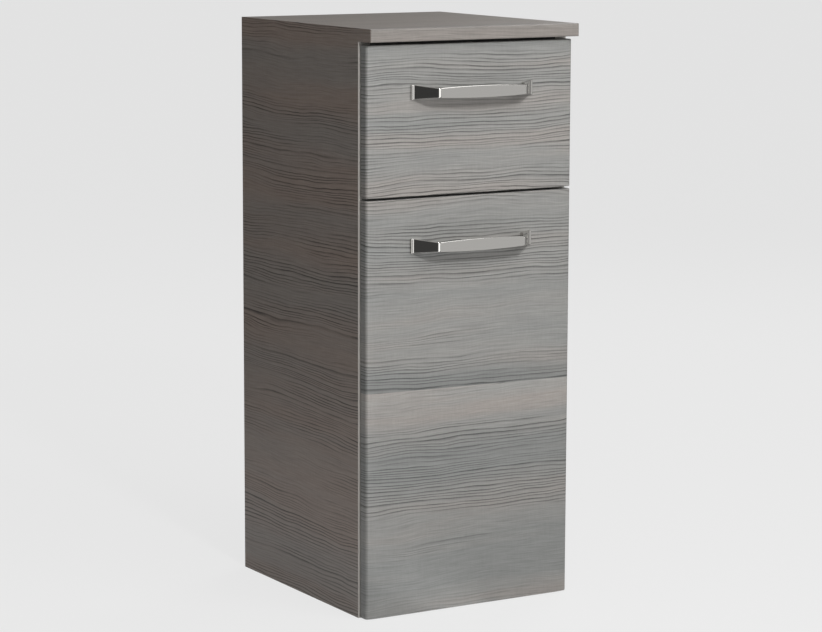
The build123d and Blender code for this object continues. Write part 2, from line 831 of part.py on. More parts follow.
def mounting_screw(shift, extra):
    """A wide screw through a wing into the side panel."""
    start = (mounting_wing, -row_inset, shift)
    end = (-mounting_screw_length, -row_inset, shift)
    sink = (mounting_wing - mounting_screw_head_radius + mounting_screw_radius, -row_inset, shift)
    head = taper(mounting_screw_head_radius + extra, mounting_screw_radius + extra, start, sink)
    return head + rod(mounting_screw_radius + extra, start, end)


def hinge_arm():
    """A channel over the spine, with two cheeks for the long links and a nose for the short link."""
    rear = -arm_front - arm_length
    arm = block(arm_height - arm_sheet, arm_height, rear, -arm_front, -arm_half_width, arm_half_width)
    cheek_low = mounting_wing + nose_play
    for sign in (-1, 1):
        z0 = sign * (arm_half_width - arm_sheet)
        z1 = sign * arm_half_width
        low, high = min(z0, z1), max(z0, z1)
        arm += block(cheek_low, arm_height, rear, -arm_front, low, high)
        cheek_root = (arm_height - cheek_eye, -arm_front - cheek_eye)
        arm += pill(cheek_root, long_link_anchor, cheek_eye, low, high)
        nose = (sign * (short_link_half + nose_play), sign * nose_half)
        nose_root = (arm_height - arm_sheet + nose_eye, -arm_front - nose_eye)
        arm += pill(nose_root, short_link_anchor, nose_eye, min(nose), max(nose))
    arm -= pin_hole(long_link_anchor, link_pin_radius + link_pin_play, -arm_half_width, arm_half_width)
    arm -= pin_hole(short_link_anchor, link_pin_radius + link_pin_play, -nose_half, nose_half)
    for v in adjusting_screw_places:
        arm -= rod(adjusting_screw_radius + fit, (arm_height - arm_sheet, v, 0), (arm_height, v, 0))
    return arm


def adjusting_screw(v):
    """A headed screw through the arm into the mounting plate."""
    seat = (arm_height, v, 0)
    tip = (arm_height - arm_sheet - adjusting_screw_length, v, 0)
    top = (arm_height + adjusting_screw_head, v, 0)
    half = adjusting_screw_slot_half
    reach = adjusting_screw_head_radius
    screw = rod(adjusting_screw_radius, tip, seat) + rod(adjusting_screw_head_radius, seat, top)
    groove = block(arm_height + adjusting_screw_head / 2, arm_height + adjusting_screw_head,
                   v - reach, v + reach, -half, half)
    return screw - groove


def long_links():
    """The outer pair of link plates, between the arm's cheeks and the cup's stub pins."""
    plates = []
    for sign in (-1, 1):
        ends = (sign * long_link_inner, sign * (long_link_inner + long_link_sheet))
        low, high = min(ends), max(ends)
        plate = pill(long_link_anchor, long_link_bend, link_eye, low, high)
        plate += pill(long_link_bend, long_link_cup, link_eye, low, high)
        for point in (long_link_anchor, long_link_cup):
            plate -= pin_hole(point, link_pin_radius + link_pin_play, low, high)
        plates.append(plate)
    return plates


def short_link():
    """The inner link, between the arm's nose and the cup's through pin, where it is left open."""
    half = short_link_half
    link = pill(short_link_anchor, short_link_bend, short_link_eye, -half, half)
    link += pill(short_link_bend, short_link_cup, short_link_eye, -half, half)
    link -= pin_hole(short_link_anchor, link_pin_radius + link_pin_play, -half, half)
    return link - pin_hole(short_link_cup, link_pin_radius + link_open_play, -half, half)


def hinge_cup():
    """The pressed cup in the door: a flange for two screws, two ears for the pins, a window for the links."""
    back = door_back_v
    floor = back + cup_depth
    outer = rod(cup_radius - fit, (cup_u, back, 0), (cup_u, floor, 0))
    flange_face = back - cup_flange
    wing_u = cup_u + cup_screw_shift
    half = cup_screw_spacing / 2
    reach = cup_wing_radius
    wing = rod(reach, (wing_u, flange_face, -half), (wing_u, back, -half))
    wing += rod(reach, (wing_u, flange_face, half), (wing_u, back, half))
    wing += block(wing_u - reach, wing_u + reach, flange_face, back, -half, half)
    flange = rod(cup_flange_radius, (cup_u, flange_face, 0), (cup_u, back, 0)) + wing
    flange -= block(cup_u - 2 * cup_radius, cup_u - cup_radius, flange_face, back, -cup_radius, cup_radius)
    inside = rod(cup_radius - cup_wall, (cup_u, flange_face, 0), (cup_u, floor - cup_wall, 0))
    cup = outer + flange - inside
    ear_u = (cup_u - cup_radius, short_link_cup[0] + link_eye)
    ear_v = (back + cup_ear_setback, floor - cup_wall / 2)
    for sign in (-1, 1):
        ends = (sign * cup_ear_inner, sign * cup_radius)
        ear = block(ear_u[0], ear_u[1], ear_v[0], ear_v[1], min(ends), max(ends))
        cup += ear & outer
    window_half = long_link_inner + long_link_sheet + cup_window_play
    window_floor = back + cup_window_depth
    cup -= block(cup_u - cup_flange_radius, cup_u, flange_face, window_floor, -window_half, window_half)
    for point in (long_link_cup, short_link_cup):
        cup -= pin_hole(point, link_pin_radius + fit, -cup_pin_end, cup_pin_end)
    for shift in (-half, half):
        cup -= cup_screw(shift, fit)
    return cup


def cup_pins():
    """Two stub pins for the long links, and one through pin for the short link."""
    pins = [pin_hole(short_link_cup, link_pin_radius, -cup_pin_end, cup_pin_end)]
    for sign in (-1, 1):
        ends = (sign * (long_link_inner - cup_ear_setback), sign * cup_pin_end)
        pins.append(pin_hole(long_link_cup, link_pin_radius, min(ends), max(ends)))
    return pins


def arm_pins():
    """The arm's two pins: one between the cheeks and one in the nose."""
    return [
        pin_hole(long_link_anchor, link_pin_radius, -arm_half_width, arm_half_width),
        pin_hole(short_link_anchor, link_pin_radius, -nose_half, nose_half),
    ]


def cup_screw(shift, extra):
    """A countersunk screw through the cup's flange into the door."""
    face = door_back_v - cup_flange
    u = cup_u + cup_screw_shift
    sink = (u, face + cup_screw_head_radius - cup_screw_radius, shift)
    start = (u, face, shift)
    end = (u, face + cup_screw_length, shift)
    head = taper(cup_screw_head_radius + extra, cup_screw_radius + extra, start, sink)
    return head + rod(cup_screw_radius + extra, start, end)


# Soft stops on the inside of the fronts
def bumper(x, z):
    """A low round pad between a front board and the carcass."""
    return rod(bumper_radius, (x, y_face_back, z), (x, y_front - bumper_clearance, z))


def at_hinges(pieces):
    """Copies of hinge pieces at both hinge heights."""
    return [at_hinge(piece, z) for z in hinge_heights for piece in pieces]


os.makedirs("parts", exist_ok=True)

save("left_side_panel", side_panel(-1))
save("right_side_panel", side_panel(1))
save("left_side_front_band", front_band(-x_out, -x_in, 0, z_plate))
save("right_side_front_band", front_band(x_in, x_out, 0, z_plate))
save("bottom_panel", bottom_panel())
save("bottom_front_band", front_band(-x_in, x_in, 0, board))
save("divider_panel", divider_panel())
save("divider_front_band", front_band(-x_in, x_in, z_divider_low, z_divider_top))
save("top_rail_front", top_rail(y_front, y_front + top_rail_depth, front_rail_joints))
save("top_rail_rear", top_rail(y_back_front - top_rail_depth, y_back_front, rear_rail_joints))
save("hanging_rail", hanging_rail())
save("back_panel", back_panel())
save("top_plate", top_plate())
save("top_plate_front_band", top_plate_band())
save("top_plate_screws", [
    wood_screw(plate_screw_radius, plate_screw_head_radius, (x, y, z_rail_low), (x, y, plate_screw_tip))
    for x, y in plate_screw_places
])
save("carcass_dowels", [
    rod(dowel_radius - fit, (side * (x_in - dowel_in_board), y, z), (side * (x_in + dowel_in_side), y, z))
    for side in (-1, 1) for y, z in all_dowels
])
save("cam_bolts", [cam_bolt(side, y, z) for side in (-1, 1) for y, z in all_cams])
save("cam_discs", [cam_disc(side, y, z) for side in (-1, 1) for y, z in all_cams])

save("shelf", shelf_panel())
save("shelf_front_band", shelf_band())
save("shelf_pins", [shelf_pin(side, y) for side in (-1, 1) for y in row_depths])

save("drawer_front", drawer_front_panel())
save("drawer_handle", bow_handle(z_drawer_handle))
save("drawer_handle_screws", [handle_screw(x, z_drawer_handle) for x in (-x_hole, x_hole)])
save("drawer_left_side", drawer_side(-1))
save("drawer_right_side", drawer_side(1))
save("drawer_inner_front", drawer_cross_board(y_face_back, z_box_low, True))
save("drawer_back", drawer_cross_board(y_box_rear - drawer_side_board, drawer_back_low, False))
save("drawer_bottom", drawer_bottom())
save("drawer_dowels", [drawer_dowel(side, place) for side in (-1, 1) for place in drawer_dowel_places(side)])
save("drawer_front_screws", [
    wood_screw(plate_screw_radius, plate_screw_head_radius,
               (x, y_face_back + drawer_side_board, z), (x, front_screw_tip, z))
    for x, z in front_screw_places
])
save("drawer_bumpers", [
    bumper(side * (x_out - bumper_inset), z_drawer_low + bumper_from_end) for side in (-1, 1)
])

save("left_runner_outer", runner_outer(-1))
save("right_runner_outer", runner_outer(1))
save("runner_middles", [runner_middle(side) for side in (-1, 1)])
save("left_runner_inner", runner_inner(-1))
save("right_runner_inner", runner_inner(1))
save("runner_cabinet_screws", [
    runner_cabinet_screw(side, y, 0) for side in (-1, 1) for y in runner_screw_places
])
save("runner_drawer_screws", [
    runner_drawer_screw(side, y, 0) for side in (-1, 1) for y in runner_screw_places
])
save("outer_ball_cages", [
    ball_cage(side, outer_cage_u, outer_strip, outer_ball_u, outer_row_half) for side in (-1, 1)
])
save("inner_ball_cages", [
    ball_cage(side, inner_cage_u, inner_strip, inner_ball_u, inner_row_half) for side in (-1, 1)
])
save("outer_cage_balls", [
    Pos(*place) * Sphere(ball_radius)
    for side in (-1, 1) for place in ball_places(side, outer_ball_u, outer_row_half)
])
save("inner_cage_balls", [
    Pos(*place) * Sphere(ball_radius)
    for side in (-1, 1) for place in ball_places(side, inner_ball_u, inner_row_half)
])

save("door_panel", door_panel())
save("door_handle", bow_handle(z_door_handle))
save("door_handle_screws", [handle_screw(x, z_door_handle) for x in (-x_hole, x_hole)])
save("door_bumpers", [
    bumper(bumper_inset - x_out, z) for z in (z_door_low + bumper_from_end, z_door_top - bumper_from_end)
])
save("hinge_cups", at_hinges([hinge_cup()]))
save("hinge_cup_pins", at_hinges(cup_pins()))
half_spacing = cup_screw_spacing / 2
save("hinge_cup_screws", at_hinges([cup_screw(shift, 0) for shift in (-half_spacing, half_spacing)]))
save("hinge_long_links", at_hinges(long_links()))
save("hinge_short_links", at_hinges([short_link()]))
save("hinge_arms", at_hinges([hinge_arm()]))
save("hinge_arm_pins", at_hinges(arm_pins()))
save("hinge_mounting_plates", at_hinges([mounting_plate()]))
save("hinge_plate_screws", at_hinges([mounting_screw(shift, 0) for shift in (-row_pitch / 2, row_pitch / 2)]))
save("hinge_adjusting_screws", at_hinges([adjusting_screw(v) for v in adjusting_screw_places]))

# Where the hinge's pivots stand, from the middle of the cabinet
for name, point in (("long link anchor", long_link_anchor), ("long link cup", long_link_cup),
                    ("short link anchor", short_link_anchor), ("short link cup", short_link_cup)):
    print(name, round(x_in - point[0], 3), round(y_front - point[1], 3))
print("wall", y_wall, "front edge", y_front, "face", y_face, "plate", y_plate, "hinges", hinge_heights)
print("drawer box", x_box_in, y_box_rear, z_box_low, z_box_top, "travel", runner_travel)
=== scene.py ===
# %% [markdown]
# # A narrow bathroom cabinet in grey larch
# This lesson gives a small base cabinet its looks: a drawer over a door, an overhanging top plate and
# two chrome bow handles. Its boards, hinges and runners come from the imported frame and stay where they
# are. The steps below add the camera, the studio, the finishes and the pieces that need a finer shape.

# %% Load the frame
import math

import bpy
from mathutils import Matrix, Vector


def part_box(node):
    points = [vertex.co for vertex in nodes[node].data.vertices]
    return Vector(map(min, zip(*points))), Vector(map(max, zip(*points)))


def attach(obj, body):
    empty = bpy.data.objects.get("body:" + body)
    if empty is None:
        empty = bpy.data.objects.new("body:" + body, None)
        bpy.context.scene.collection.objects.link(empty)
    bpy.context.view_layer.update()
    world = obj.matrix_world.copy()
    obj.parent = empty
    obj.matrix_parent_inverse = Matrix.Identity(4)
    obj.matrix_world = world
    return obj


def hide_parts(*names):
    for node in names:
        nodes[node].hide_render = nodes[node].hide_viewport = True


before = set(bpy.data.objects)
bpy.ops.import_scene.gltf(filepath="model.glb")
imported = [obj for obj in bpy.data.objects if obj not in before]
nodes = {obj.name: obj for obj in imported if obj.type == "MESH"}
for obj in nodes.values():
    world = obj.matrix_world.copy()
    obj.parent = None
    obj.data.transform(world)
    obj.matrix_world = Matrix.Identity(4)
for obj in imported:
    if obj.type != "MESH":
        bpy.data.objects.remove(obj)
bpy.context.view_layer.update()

# %% [markdown]
# Everything is in metres, but a cabinet maker thinks in millimetres, so one value turns one into the
# other. A few places are read from the frame once and used by many steps.

# %% Shared sizes
MM = 0.001
front_low, front_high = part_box("door_panel")
face_y = front_low.y
print("face of the fronts", round(face_y, 4), "door height", round(front_high.z - front_low.z, 4))


def deselect():
    """Nothing stays selected, so that an operator acts only on the piece that is being made."""
    bpy.ops.object.select_all(action="DESELECT")


def pick(piece):
    """Makes one piece the selected and active one."""
    deselect()
    piece.select_set(True)
    bpy.context.view_layer.objects.active = piece


deselect()

# %% [markdown]
# The photograph was taken from the left and a little above, with a long lens, so upright lines stay
# almost parallel. A camera is a place, three turns and a focal length. These were fitted to the
# cabinet's straight edges, and the focal length in pixels becomes a lens on a 36 mm sensor.

# %% Camera
image_width = 822
focal_pixels = 2831.22
sensor_width = 36.0
camera_place = Vector((-1.84098, -3.09865, 0.91827))
camera_yaw = math.radians(30.741)
camera_pitch = math.radians(8.953)
camera_roll = math.radians(0.165)

forward = Vector((
    math.sin(camera_yaw) * math.cos(camera_pitch),
    math.cos(camera_yaw) * math.cos(camera_pitch),
    -math.sin(camera_pitch),
))
level_right = Vector((math.cos(camera_yaw), -math.sin(camera_yaw), 0.0))
level_up = level_right.cross(forward)
right = level_right * math.cos(camera_roll) + level_up * math.sin(camera_roll)
up = level_up * math.cos(camera_roll) - level_right * math.sin(camera_roll)

camera_data = bpy.data.cameras.new("camera")
camera_data.sensor_width = sensor_width
camera_data.lens = focal_pixels / image_width * sensor_width
camera = bpy.data.objects.new("camera", camera_data)
bpy.context.scene.collection.objects.link(camera)
turn = Matrix((right, up, -forward)).transposed()
camera.matrix_world = Matrix.Translation(camera_place) @ turn.to_4x4()
bpy.context.scene.camera = camera
print("lens", round(camera_data.lens, 1), "mm")

# %% [markdown]
# A few helpers write every material. Colours are picked as sRGB hex values, as in any paint program, and
# the shader wants them linear. Another helper adds one node, sets its fields, and fills its sockets
# with numbers or with links, so that a material reads as a list of steps. Sums that follow one another
# are written as a chain, and the last two helpers open and close a material.

# %% Colour and node helpers
def linear(hex_colour):
    """Turns an sRGB hex value into the linear colour that shaders use."""
    channels = []
    for start in (1, 3, 5):
        value = int(hex_colour[start:start + 2], 16) / 255
        channels.append(value / 12.92 if value <= 0.04045 else ((value + 0.055) / 1.055) ** 2.4)
    return (*channels, 1.0)


def add_node(tree, kind, inputs=None, stops=None, **settings):
    """Adds a node. inputs holds a number, colour or socket for each input, and stops fill a colour ramp."""
    node = tree.nodes.new(kind)
    for field, value in settings.items():
        setattr(node, field, value)
    for socket, value in (inputs or {}).items():
        if isinstance(value, bpy.types.NodeSocket):
            tree.links.new(value, node.inputs[socket])
        else:
            node.inputs[socket].default_value = value
    if stops:
        ramp = node.color_ramp
        ramp.elements[0].position = stops[0][0]
        ramp.elements[1].position = stops[-1][0]
        for place, colour in stops[1:-1]:
            ramp.elements.new(place)
        for element, (place, colour) in zip(ramp.elements, stops):
            element.color = colour if len(colour) == 4 else (*colour * 3, 1.0)
    return node


def chain(tree, value, *steps):
    """Runs a value through a row of sums, each an operation and what it is done with."""
    for operation, other in steps:
        value = add_node(tree, "ShaderNodeMath", {0: value, 1: other}, operation=operation).outputs[0]
    return value


def new_material(name):
    """An empty material with an output, ready for its nodes."""
    material = bpy.data.materials.new(name)
    material.use_nodes = True
    material.node_tree.nodes.clear()
    return material, material.node_tree


def close_material(tree, shader):
    """Links the last shader to the output."""
    add_node(tree, "ShaderNodeOutputMaterial", {"Surface": shader.outputs[0]})


print("half grey in sRGB is", round(linear("#808080")[0], 3), "linear")

# %% [markdown]
# The studio is plain. Its surroundings are bright in front on the right and dark on the left, which is
# why the left side of the cabinet looks so much darker than its fronts. One function turns a direction
# into the light that matt and that glossy surfaces get from there, because the sky and the floor both
# need it: polished metal shows its surroundings like a mirror, and they have to agree. A bright patch
# straight in front, which the floor carries on down to the cabinet, stands for a tall softbox. It draws
# the bright line down each rounded edge. Its edge and its full part are cosines of the angle from its
# middle.

# %% Light by direction
bright_way = Vector((0.5, -0.86, 0.1)).normalized()
tall_box_way = Vector((-0.07, -0.99, 0.03)).normalized()
tall_box_light = 2.4
tall_box_edge = 0.93
tall_box_full = 0.985
sky_dim = 0.15
sky_bright = 0.36
sky_turn_start = -0.25
sky_turn_end = 0.80


def light_from(tree, way):
    """Light for matt and for glossy surfaces that comes from a direction."""
    facing = add_node(tree, "ShaderNodeVectorMath", {0: way, 1: bright_way}, operation="DOT_PRODUCT")
    matt = add_node(tree, "ShaderNodeMapRange", {
        0: facing.outputs["Value"], 1: sky_turn_start, 2: sky_turn_end, 3: sky_dim, 4: sky_bright,
    })
    glossy = add_node(tree, "ShaderNodeValToRGB", {0: facing.outputs["Value"]}, stops=[
        (0.0, (0.035,)),
        (0.35, (0.06,)),
        (0.70, (0.24,)),
        (0.88, (0.52,)),
        (1.0, (0.74,)),
    ])
    towards_box = add_node(tree, "ShaderNodeVectorMath", {0: way, 1: tall_box_way}, operation="DOT_PRODUCT")
    box = add_node(tree, "ShaderNodeMapRange", {
        0: towards_box.outputs["Value"], 1: tall_box_edge, 2: tall_box_full, 3: 0.0, 4: tall_box_light,
    })
    return matt.outputs[0], chain(tree, glossy.outputs[0], ("MAXIMUM", box.outputs[0]))


print("matt light from", sky_dim, "to", sky_bright, "and the tall softbox at", tall_box_light)

# %% [markdown]
# The sky gives that light from every side, and polished metal also sees a bright ceiling in it. The
# camera never sees the sky: for camera rays it is an even pale grey, the colour of the backdrop.

# %% Studio sky
background = "#E6E6E6"
ceiling_start = 0.45
ceiling_full = 0.80
ceiling_light = 0.95

world = bpy.data.worlds.new("studio")
bpy.context.scene.world = world
world.use_nodes = True
sky = world.node_tree
sky.nodes.clear()
direction = add_node(sky, "ShaderNodeTexCoord").outputs["Generated"]
matt_light, glossy_light = light_from(sky, direction)
steepness = add_node(sky, "ShaderNodeSeparateXYZ", {0: direction}).outputs["Z"]
ceiling = add_node(sky, "ShaderNodeMapRange", {
    0: steepness, 1: ceiling_start, 2: ceiling_full, 3: 0.0, 4: ceiling_light,
})
glossy_light = chain(sky, glossy_light, ("MAXIMUM", ceiling.outputs[0]))
rays = add_node(sky, "ShaderNodeLightPath")
lit = add_node(sky, "ShaderNodeMix", {
    "Factor": rays.outputs["Is Glossy Ray"], "A": matt_light, "B": glossy_light,
}, data_type="RGBA")
seen = add_node(sky, "ShaderNodeMix", {
    "Factor": rays.outputs["Is Camera Ray"], "A": lit.outputs["Result"], "B": linear(background),
}, data_type="RGBA")
shine = add_node(sky, "ShaderNodeBackground", {"Color": seen.outputs["Result"], "Strength": 1.0})
add_node(sky, "ShaderNodeOutputWorld", {"Surface": shine.outputs[0]})
print("sky nodes", len(sky.nodes))

# %% [markdown]
# The shadow under each handle is fairly crisp and lies a little to the right, so a small round softbox
# stands left of the middle and 27 degrees high. A large one on the right is so near that the drawer gets
# more light than the foot of the door. A weak one behind keeps the back readable in other views.

# %% Softboxes
lamp_aim = Vector((0.0, face_y, 0.65))
softboxes = {
    "key": {"azimuth": -11.0, "elevation": 27.0, "distance": 2.5, "size": 0.31, "power": 30.0},
    "front": {"azimuth": 20.0, "elevation": 35.0, "distance": 1.8, "size": 1.2, "power": 13.0},
    "rear": {"azimuth": 130.0, "elevation": 32.0, "distance": 3.0, "size": 1.5, "power": 18.0},
}


def add_softbox(name, azimuth, elevation, distance, size, power):
    """A round lamp that faces the cabinet from an azimuth round it, with 0 in front."""
    light = bpy.data.lights.new(name, "AREA")
    light.shape = "DISK"
    light.size = size
    light.energy = power
    lamp = bpy.data.objects.new(name, light)
    bpy.context.scene.collection.objects.link(lamp)
    turn_round = math.radians(azimuth)
    rise = math.radians(elevation)
    towards = Vector((
        math.sin(turn_round) * math.cos(rise),
        -math.cos(turn_round) * math.cos(rise),
        math.sin(rise),
    ))
    lamp.location = lamp_aim + towards * distance
    lamp.rotation_mode = "QUATERNION"
    lamp.rotation_quaternion = towards.to_track_quat("Z", "Y")
    lamp.visible_camera = False


for name, box in softboxes.items():
    add_softbox(name, **box)
print("softboxes", list(softboxes))

# %% [markdown]
# The floor is a real surface, so the cabinet's shadow lies on it. For the camera most of its colour is
# given out rather than reflected, which keeps it as even and pale as a photographer's paper sweep. To
# polished metal it is pale near the cabinet, and further out it has the bright and dark sides of the sky.

# %% Floor
floor_half = 40.0
floor_own_light = 0.85
floor_seen = "#EFEFEF"
floor_paper = "#EBEBEB"
paper_near = 0.7
paper_far = 1.7
paper_light = 0.50

deselect()
bpy.ops.mesh.primitive_plane_add(size=2 * floor_half, location=(0.0, 0.0, 0.0))
floor = bpy.context.active_object
floor.name = "floor"
floor_material, tree = new_material("seamless_paper")
rays = add_node(tree, "ShaderNodeLightPath")
spot = add_node(tree, "ShaderNodeTexCoord").outputs["Object"]
outward = add_node(tree, "ShaderNodeVectorMath", {0: spot}, operation="NORMALIZE").outputs[0]
far = add_node(tree, "ShaderNodeVectorMath", {0: spot}, operation="LENGTH").outputs["Value"]
near_paper = add_node(tree, "ShaderNodeMapRange", {
    0: far, 1: paper_near, 2: paper_far, 3: paper_light, 4: 0.0,
})
matt_light, glossy_light = light_from(tree, outward)
glossy_light = chain(tree, glossy_light, ("MAXIMUM", near_paper.outputs[0]))
own = add_node(tree, "ShaderNodeMix", {
    "Factor": rays.outputs["Is Camera Ray"], "A": glossy_light, "B": linear(floor_seen),
}, data_type="RGBA")
paper = add_node(tree, "ShaderNodeBsdfDiffuse", {"Color": linear(floor_paper)})
even = add_node(tree, "ShaderNodeEmission", {"Color": own.outputs["Result"], "Strength": 1.0})
share = chain(tree, rays.outputs["Is Camera Ray"], ("MAXIMUM", rays.outputs["Is Glossy Ray"]),
              ("MULTIPLY", floor_own_light))
mixed = add_node(tree, "ShaderNodeMixShader", {0: share, 1: paper.outputs[0], 2: even.outputs[0]})
close_material(tree, mixed)
floor.data.materials.append(floor_material)
print("floor", 2 * floor_half, "m wide")

# %% [markdown]
# The picture shows colours as they are, with no film look laid over them. A colour that is written here
# can then be compared with the same place in the photograph.

# %% Picture colours
view = bpy.context.scene.view_settings
view.view_transform = "Standard"
print("view transform", view.view_transform)

# %% [markdown]
# The cabinet's skin is a melamine laminate: a printed paper pressed onto chipboard, here with a grey
# larch print and a fine wood texture. Larch has thin dark latewood lines that end sharply on one side,
# wander slowly, crowd together and fade. So the print is built from one wandering height across the
# grain, and everything else follows that height: rings, fibres and bands of cooler and warmer grey.

# %% Grey larch print
ring_pitch = 4.2 * MM
uneven_length = 4.0
uneven_width = 14.0 * MM
uneven_reach = 3.0
fibre_width = 0.8 * MM
fibre_length = 35.0 * MM
zone_width = 48.0 * MM
zone_length = 700.0 * MM
wander_length = 240.0 * MM
wander_width = 85.0 * MM
wander_reach = 26.0 * MM
ripple_length = 55.0 * MM
ripple_width = 22.0 * MM
ripple_reach = 4.0 * MM
crowd_length = 300.0 * MM
crowd_width = 34.0 * MM
crowd_start = 0.40
crowd_full = 0.60
crowd_least = 0.10
fade_length = 60.0 * MM
fade_width = 3.0 * MM
fade_start = 0.30
fade_full = 0.52
fade_least = 0.45
chatter_pitch = 1.6 * MM
chatter_length = 14.0 * MM
fibre_strength = 0.80
fibre_relief = 0.6
chatter_strength = 0.14
early_wood_lift = 0.06
row_pull = 0.50
shade_hue = 1.2


def larch_print(tree, along, across, seed, colours, line_strength, rows=None, shade=None):
    """Colour and relief of the print, from the place along and across the grain in metres."""
    # Each cloud of noise has an offset of its own, so that no two of them look alike
    def cloud(length, width, height, offset, detail=2.0):
        place = add_node(tree, "ShaderNodeCombineXYZ", {
            0: chain(tree, along, ("DIVIDE", length)),
            1: chain(tree, height, ("DIVIDE", width)),
            2: chain(tree, seed, ("ADD", offset)),
        })
        noise = add_node(tree, "ShaderNodeTexNoise", {
            "Vector": place.outputs[0], "Scale": 1.0, "Detail": detail, "Roughness": 0.5,
        })
        return noise.outputs[0]

    wander = chain(tree, cloud(wander_length, wander_width, across, 0.0),
                   ("SUBTRACT", 0.5), ("MULTIPLY", wander_reach))
    ripple = chain(tree, cloud(ripple_length, ripple_width, across, 3.7),
                   ("SUBTRACT", 0.5), ("MULTIPLY", ripple_reach))
    height = chain(tree, across, ("ADD", wander), ("ADD", ripple))

    uneven = chain(tree, cloud(uneven_length, uneven_width, height, 9.1, 1.0), ("MULTIPLY", uneven_reach))
    phase = chain(tree, height, ("DIVIDE", ring_pitch), ("ADD", uneven), ("FRACT", 0.0))
    ring = add_node(tree, "ShaderNodeValToRGB", {0: phase}, stops=[
        (0.0, (0.0,)),
        (0.48, (0.0,)),
        (0.70, (0.45,)),
        (0.84, (1.0,)),
        (0.92, (0.9,)),
        (1.0, (0.0,)),
    ]).outputs[0]
    crowd = cloud(crowd_length, crowd_width, height, 14.3)
    if rows is not None:
        crowd = chain(tree, rows, ("SUBTRACT", 0.5), ("MULTIPLY", row_pull), ("ADD", crowd))
    crowd = add_node(tree, "ShaderNodeMapRange", {
        0: crowd, 1: crowd_start, 2: crowd_full, 3: crowd_least, 4: 1.0,
    }).outputs[0]
    fade = add_node(tree, "ShaderNodeMapRange", {
        0: cloud(fade_length, fade_width, height, 21.9), 1: fade_start, 2: fade_full, 3: fade_least, 4: 1.0,
    }).outputs[0]
    lines = chain(tree, ring, ("MULTIPLY", crowd), ("MULTIPLY", fade))

    fibres = chain(tree, cloud(fibre_length, fibre_width, height, 31.2, 3.0), ("SUBTRACT", 0.5))
    chatter = chain(tree, cloud(chatter_pitch, chatter_length, height, 44.4, 1.0), ("SUBTRACT", 0.5))
    zone = cloud(zone_length, zone_width, height, 57.5, 3.0)
    light = chain(
        tree, 1.0,
        ("ADD", chain(tree, fibres, ("MULTIPLY", fibre_strength))),
        ("ADD", chain(tree, chatter, ("MULTIPLY", chatter_strength))),
        ("ADD", chain(tree, crowd, ("MULTIPLY", line_strength * early_wood_lift))),
        ("SUBTRACT", chain(tree, lines, ("MULTIPLY", line_strength))),
    )
    if shade is not None:
        zone = chain(tree, shade, ("SUBTRACT", 1.0), ("MULTIPLY", shade_hue), ("ADD", zone))
        light = chain(tree, light, ("MULTIPLY", shade))
    cool, middle, warm = colours
    zones = add_node(tree, "ShaderNodeValToRGB", {0: zone}, stops=[
        (0.34, linear(cool)),
        (0.50, linear(middle)),
        (0.66, linear(warm)),
    ]).outputs[0]
    colour = add_node(tree, "ShaderNodeVectorMath", {0: zones, "Scale": light}, operation="SCALE").outputs[0]
    relief = chain(tree, fibres, ("MULTIPLY", fibre_relief), ("SUBTRACT", lines))
    return colour, relief


print("rings", ring_pitch / MM, "mm apart, fibres", fibre_width / MM, "mm wide")

# %% [markdown]
# The print shows planks side by side, and one joint of them crosses the door. The grain starts afresh
# there. The plank above is dark and cool along the joint and full of rings, and the one below is pale,
# warm and calm, before its own rings begin. So the fronts need two more values, both by height: how
# much the dark rings crowd, and how dark or pale the plank is.

# %% Planks of the fronts
plank_joint_height = 282.8 * MM
plank_joint_slope = 0.0117
plank_seed_step = 7.3
above_joint = 0.82
above_joint_reach = 40.0 * MM
below_joint = 1.14
below_joint_reach = 66.0 * MM
lower_plank = 0.91
front_line_rows = [
    (0.0, 0.5), (80.0, 0.15), (115.0, 0.15), (130.0, 1.0), (165.0, 1.0), (190.0, 0.55), (228.0, 0.5),
    (244.0, 0.0), (281.8, 0.0), (283.4, 0.95), (312.0, 0.8), (330.0, 0.25), (395.0, 0.2), (425.0, 0.8),
    (475.0, 0.75), (500.0, 0.1), (535.0, 0.7), (565.0, 0.35), (605.0, 1.0), (645.0, 0.55), (670.0, 1.0),
    (700.0, 0.25),
]


def front_planks(tree, along, across):
    """Which plank a point is on, how much its rings crowd and its shade."""
    level = chain(tree, along, ("MULTIPLY", plank_joint_slope), ("ADD", across))
    upper = chain(tree, level, ("GREATER_THAN", plank_joint_height))
    above = add_node(tree, "ShaderNodeMapRange", {
        0: level, 1: plank_joint_height, 2: plank_joint_height + above_joint_reach, 3: above_joint, 4: 1.0,
    }).outputs[0]
    below = add_node(tree, "ShaderNodeMapRange", {
        0: level, 1: plank_joint_height - below_joint_reach, 2: plank_joint_height,
        3: lower_plank, 4: below_joint,
    }).outputs[0]
    shade = add_node(tree, "ShaderNodeMix", {"Factor": upper, "A": below, "B": above}).outputs["Result"]
    low_row = front_line_rows[0][0]
    row_span = front_line_rows[-1][0] - low_row
    row_place = chain(tree, level, ("SUBTRACT", low_row * MM), ("DIVIDE", row_span * MM))
    rows = add_node(tree, "ShaderNodeValToRGB", {0: row_place}, stops=[
        ((row - low_row) / row_span, (share,)) for row, share in front_line_rows
    ]).outputs[0]
    return upper, rows, shade


print("plank joint at", plank_joint_height / MM, "mm,", len(front_line_rows), "rows of rings")

# %% [markdown]
# The same laminate is on every outer board, but the print turns with the board: along X on the fronts
# and the plate, from front to back on the sides. Wherever a board was sawn and not banded, at its rear
# and in its bores, the chipboard shows. So the material asks the surface which way it faces. The plate's
# ends carry the print of the sides, because in the photograph the left side seems to run up over them.

# %% Laminate and chipboard
chip_size = 2.2 * MM
face_turn = 0.75
deepest_line = -1.0
highest_fibre = 0.4
rough_in_lines = 0.44
rough_on_fibres = 0.30
texture_strength = 0.6
texture_depth = 0.15 * MM
melamine_ior = 1.5


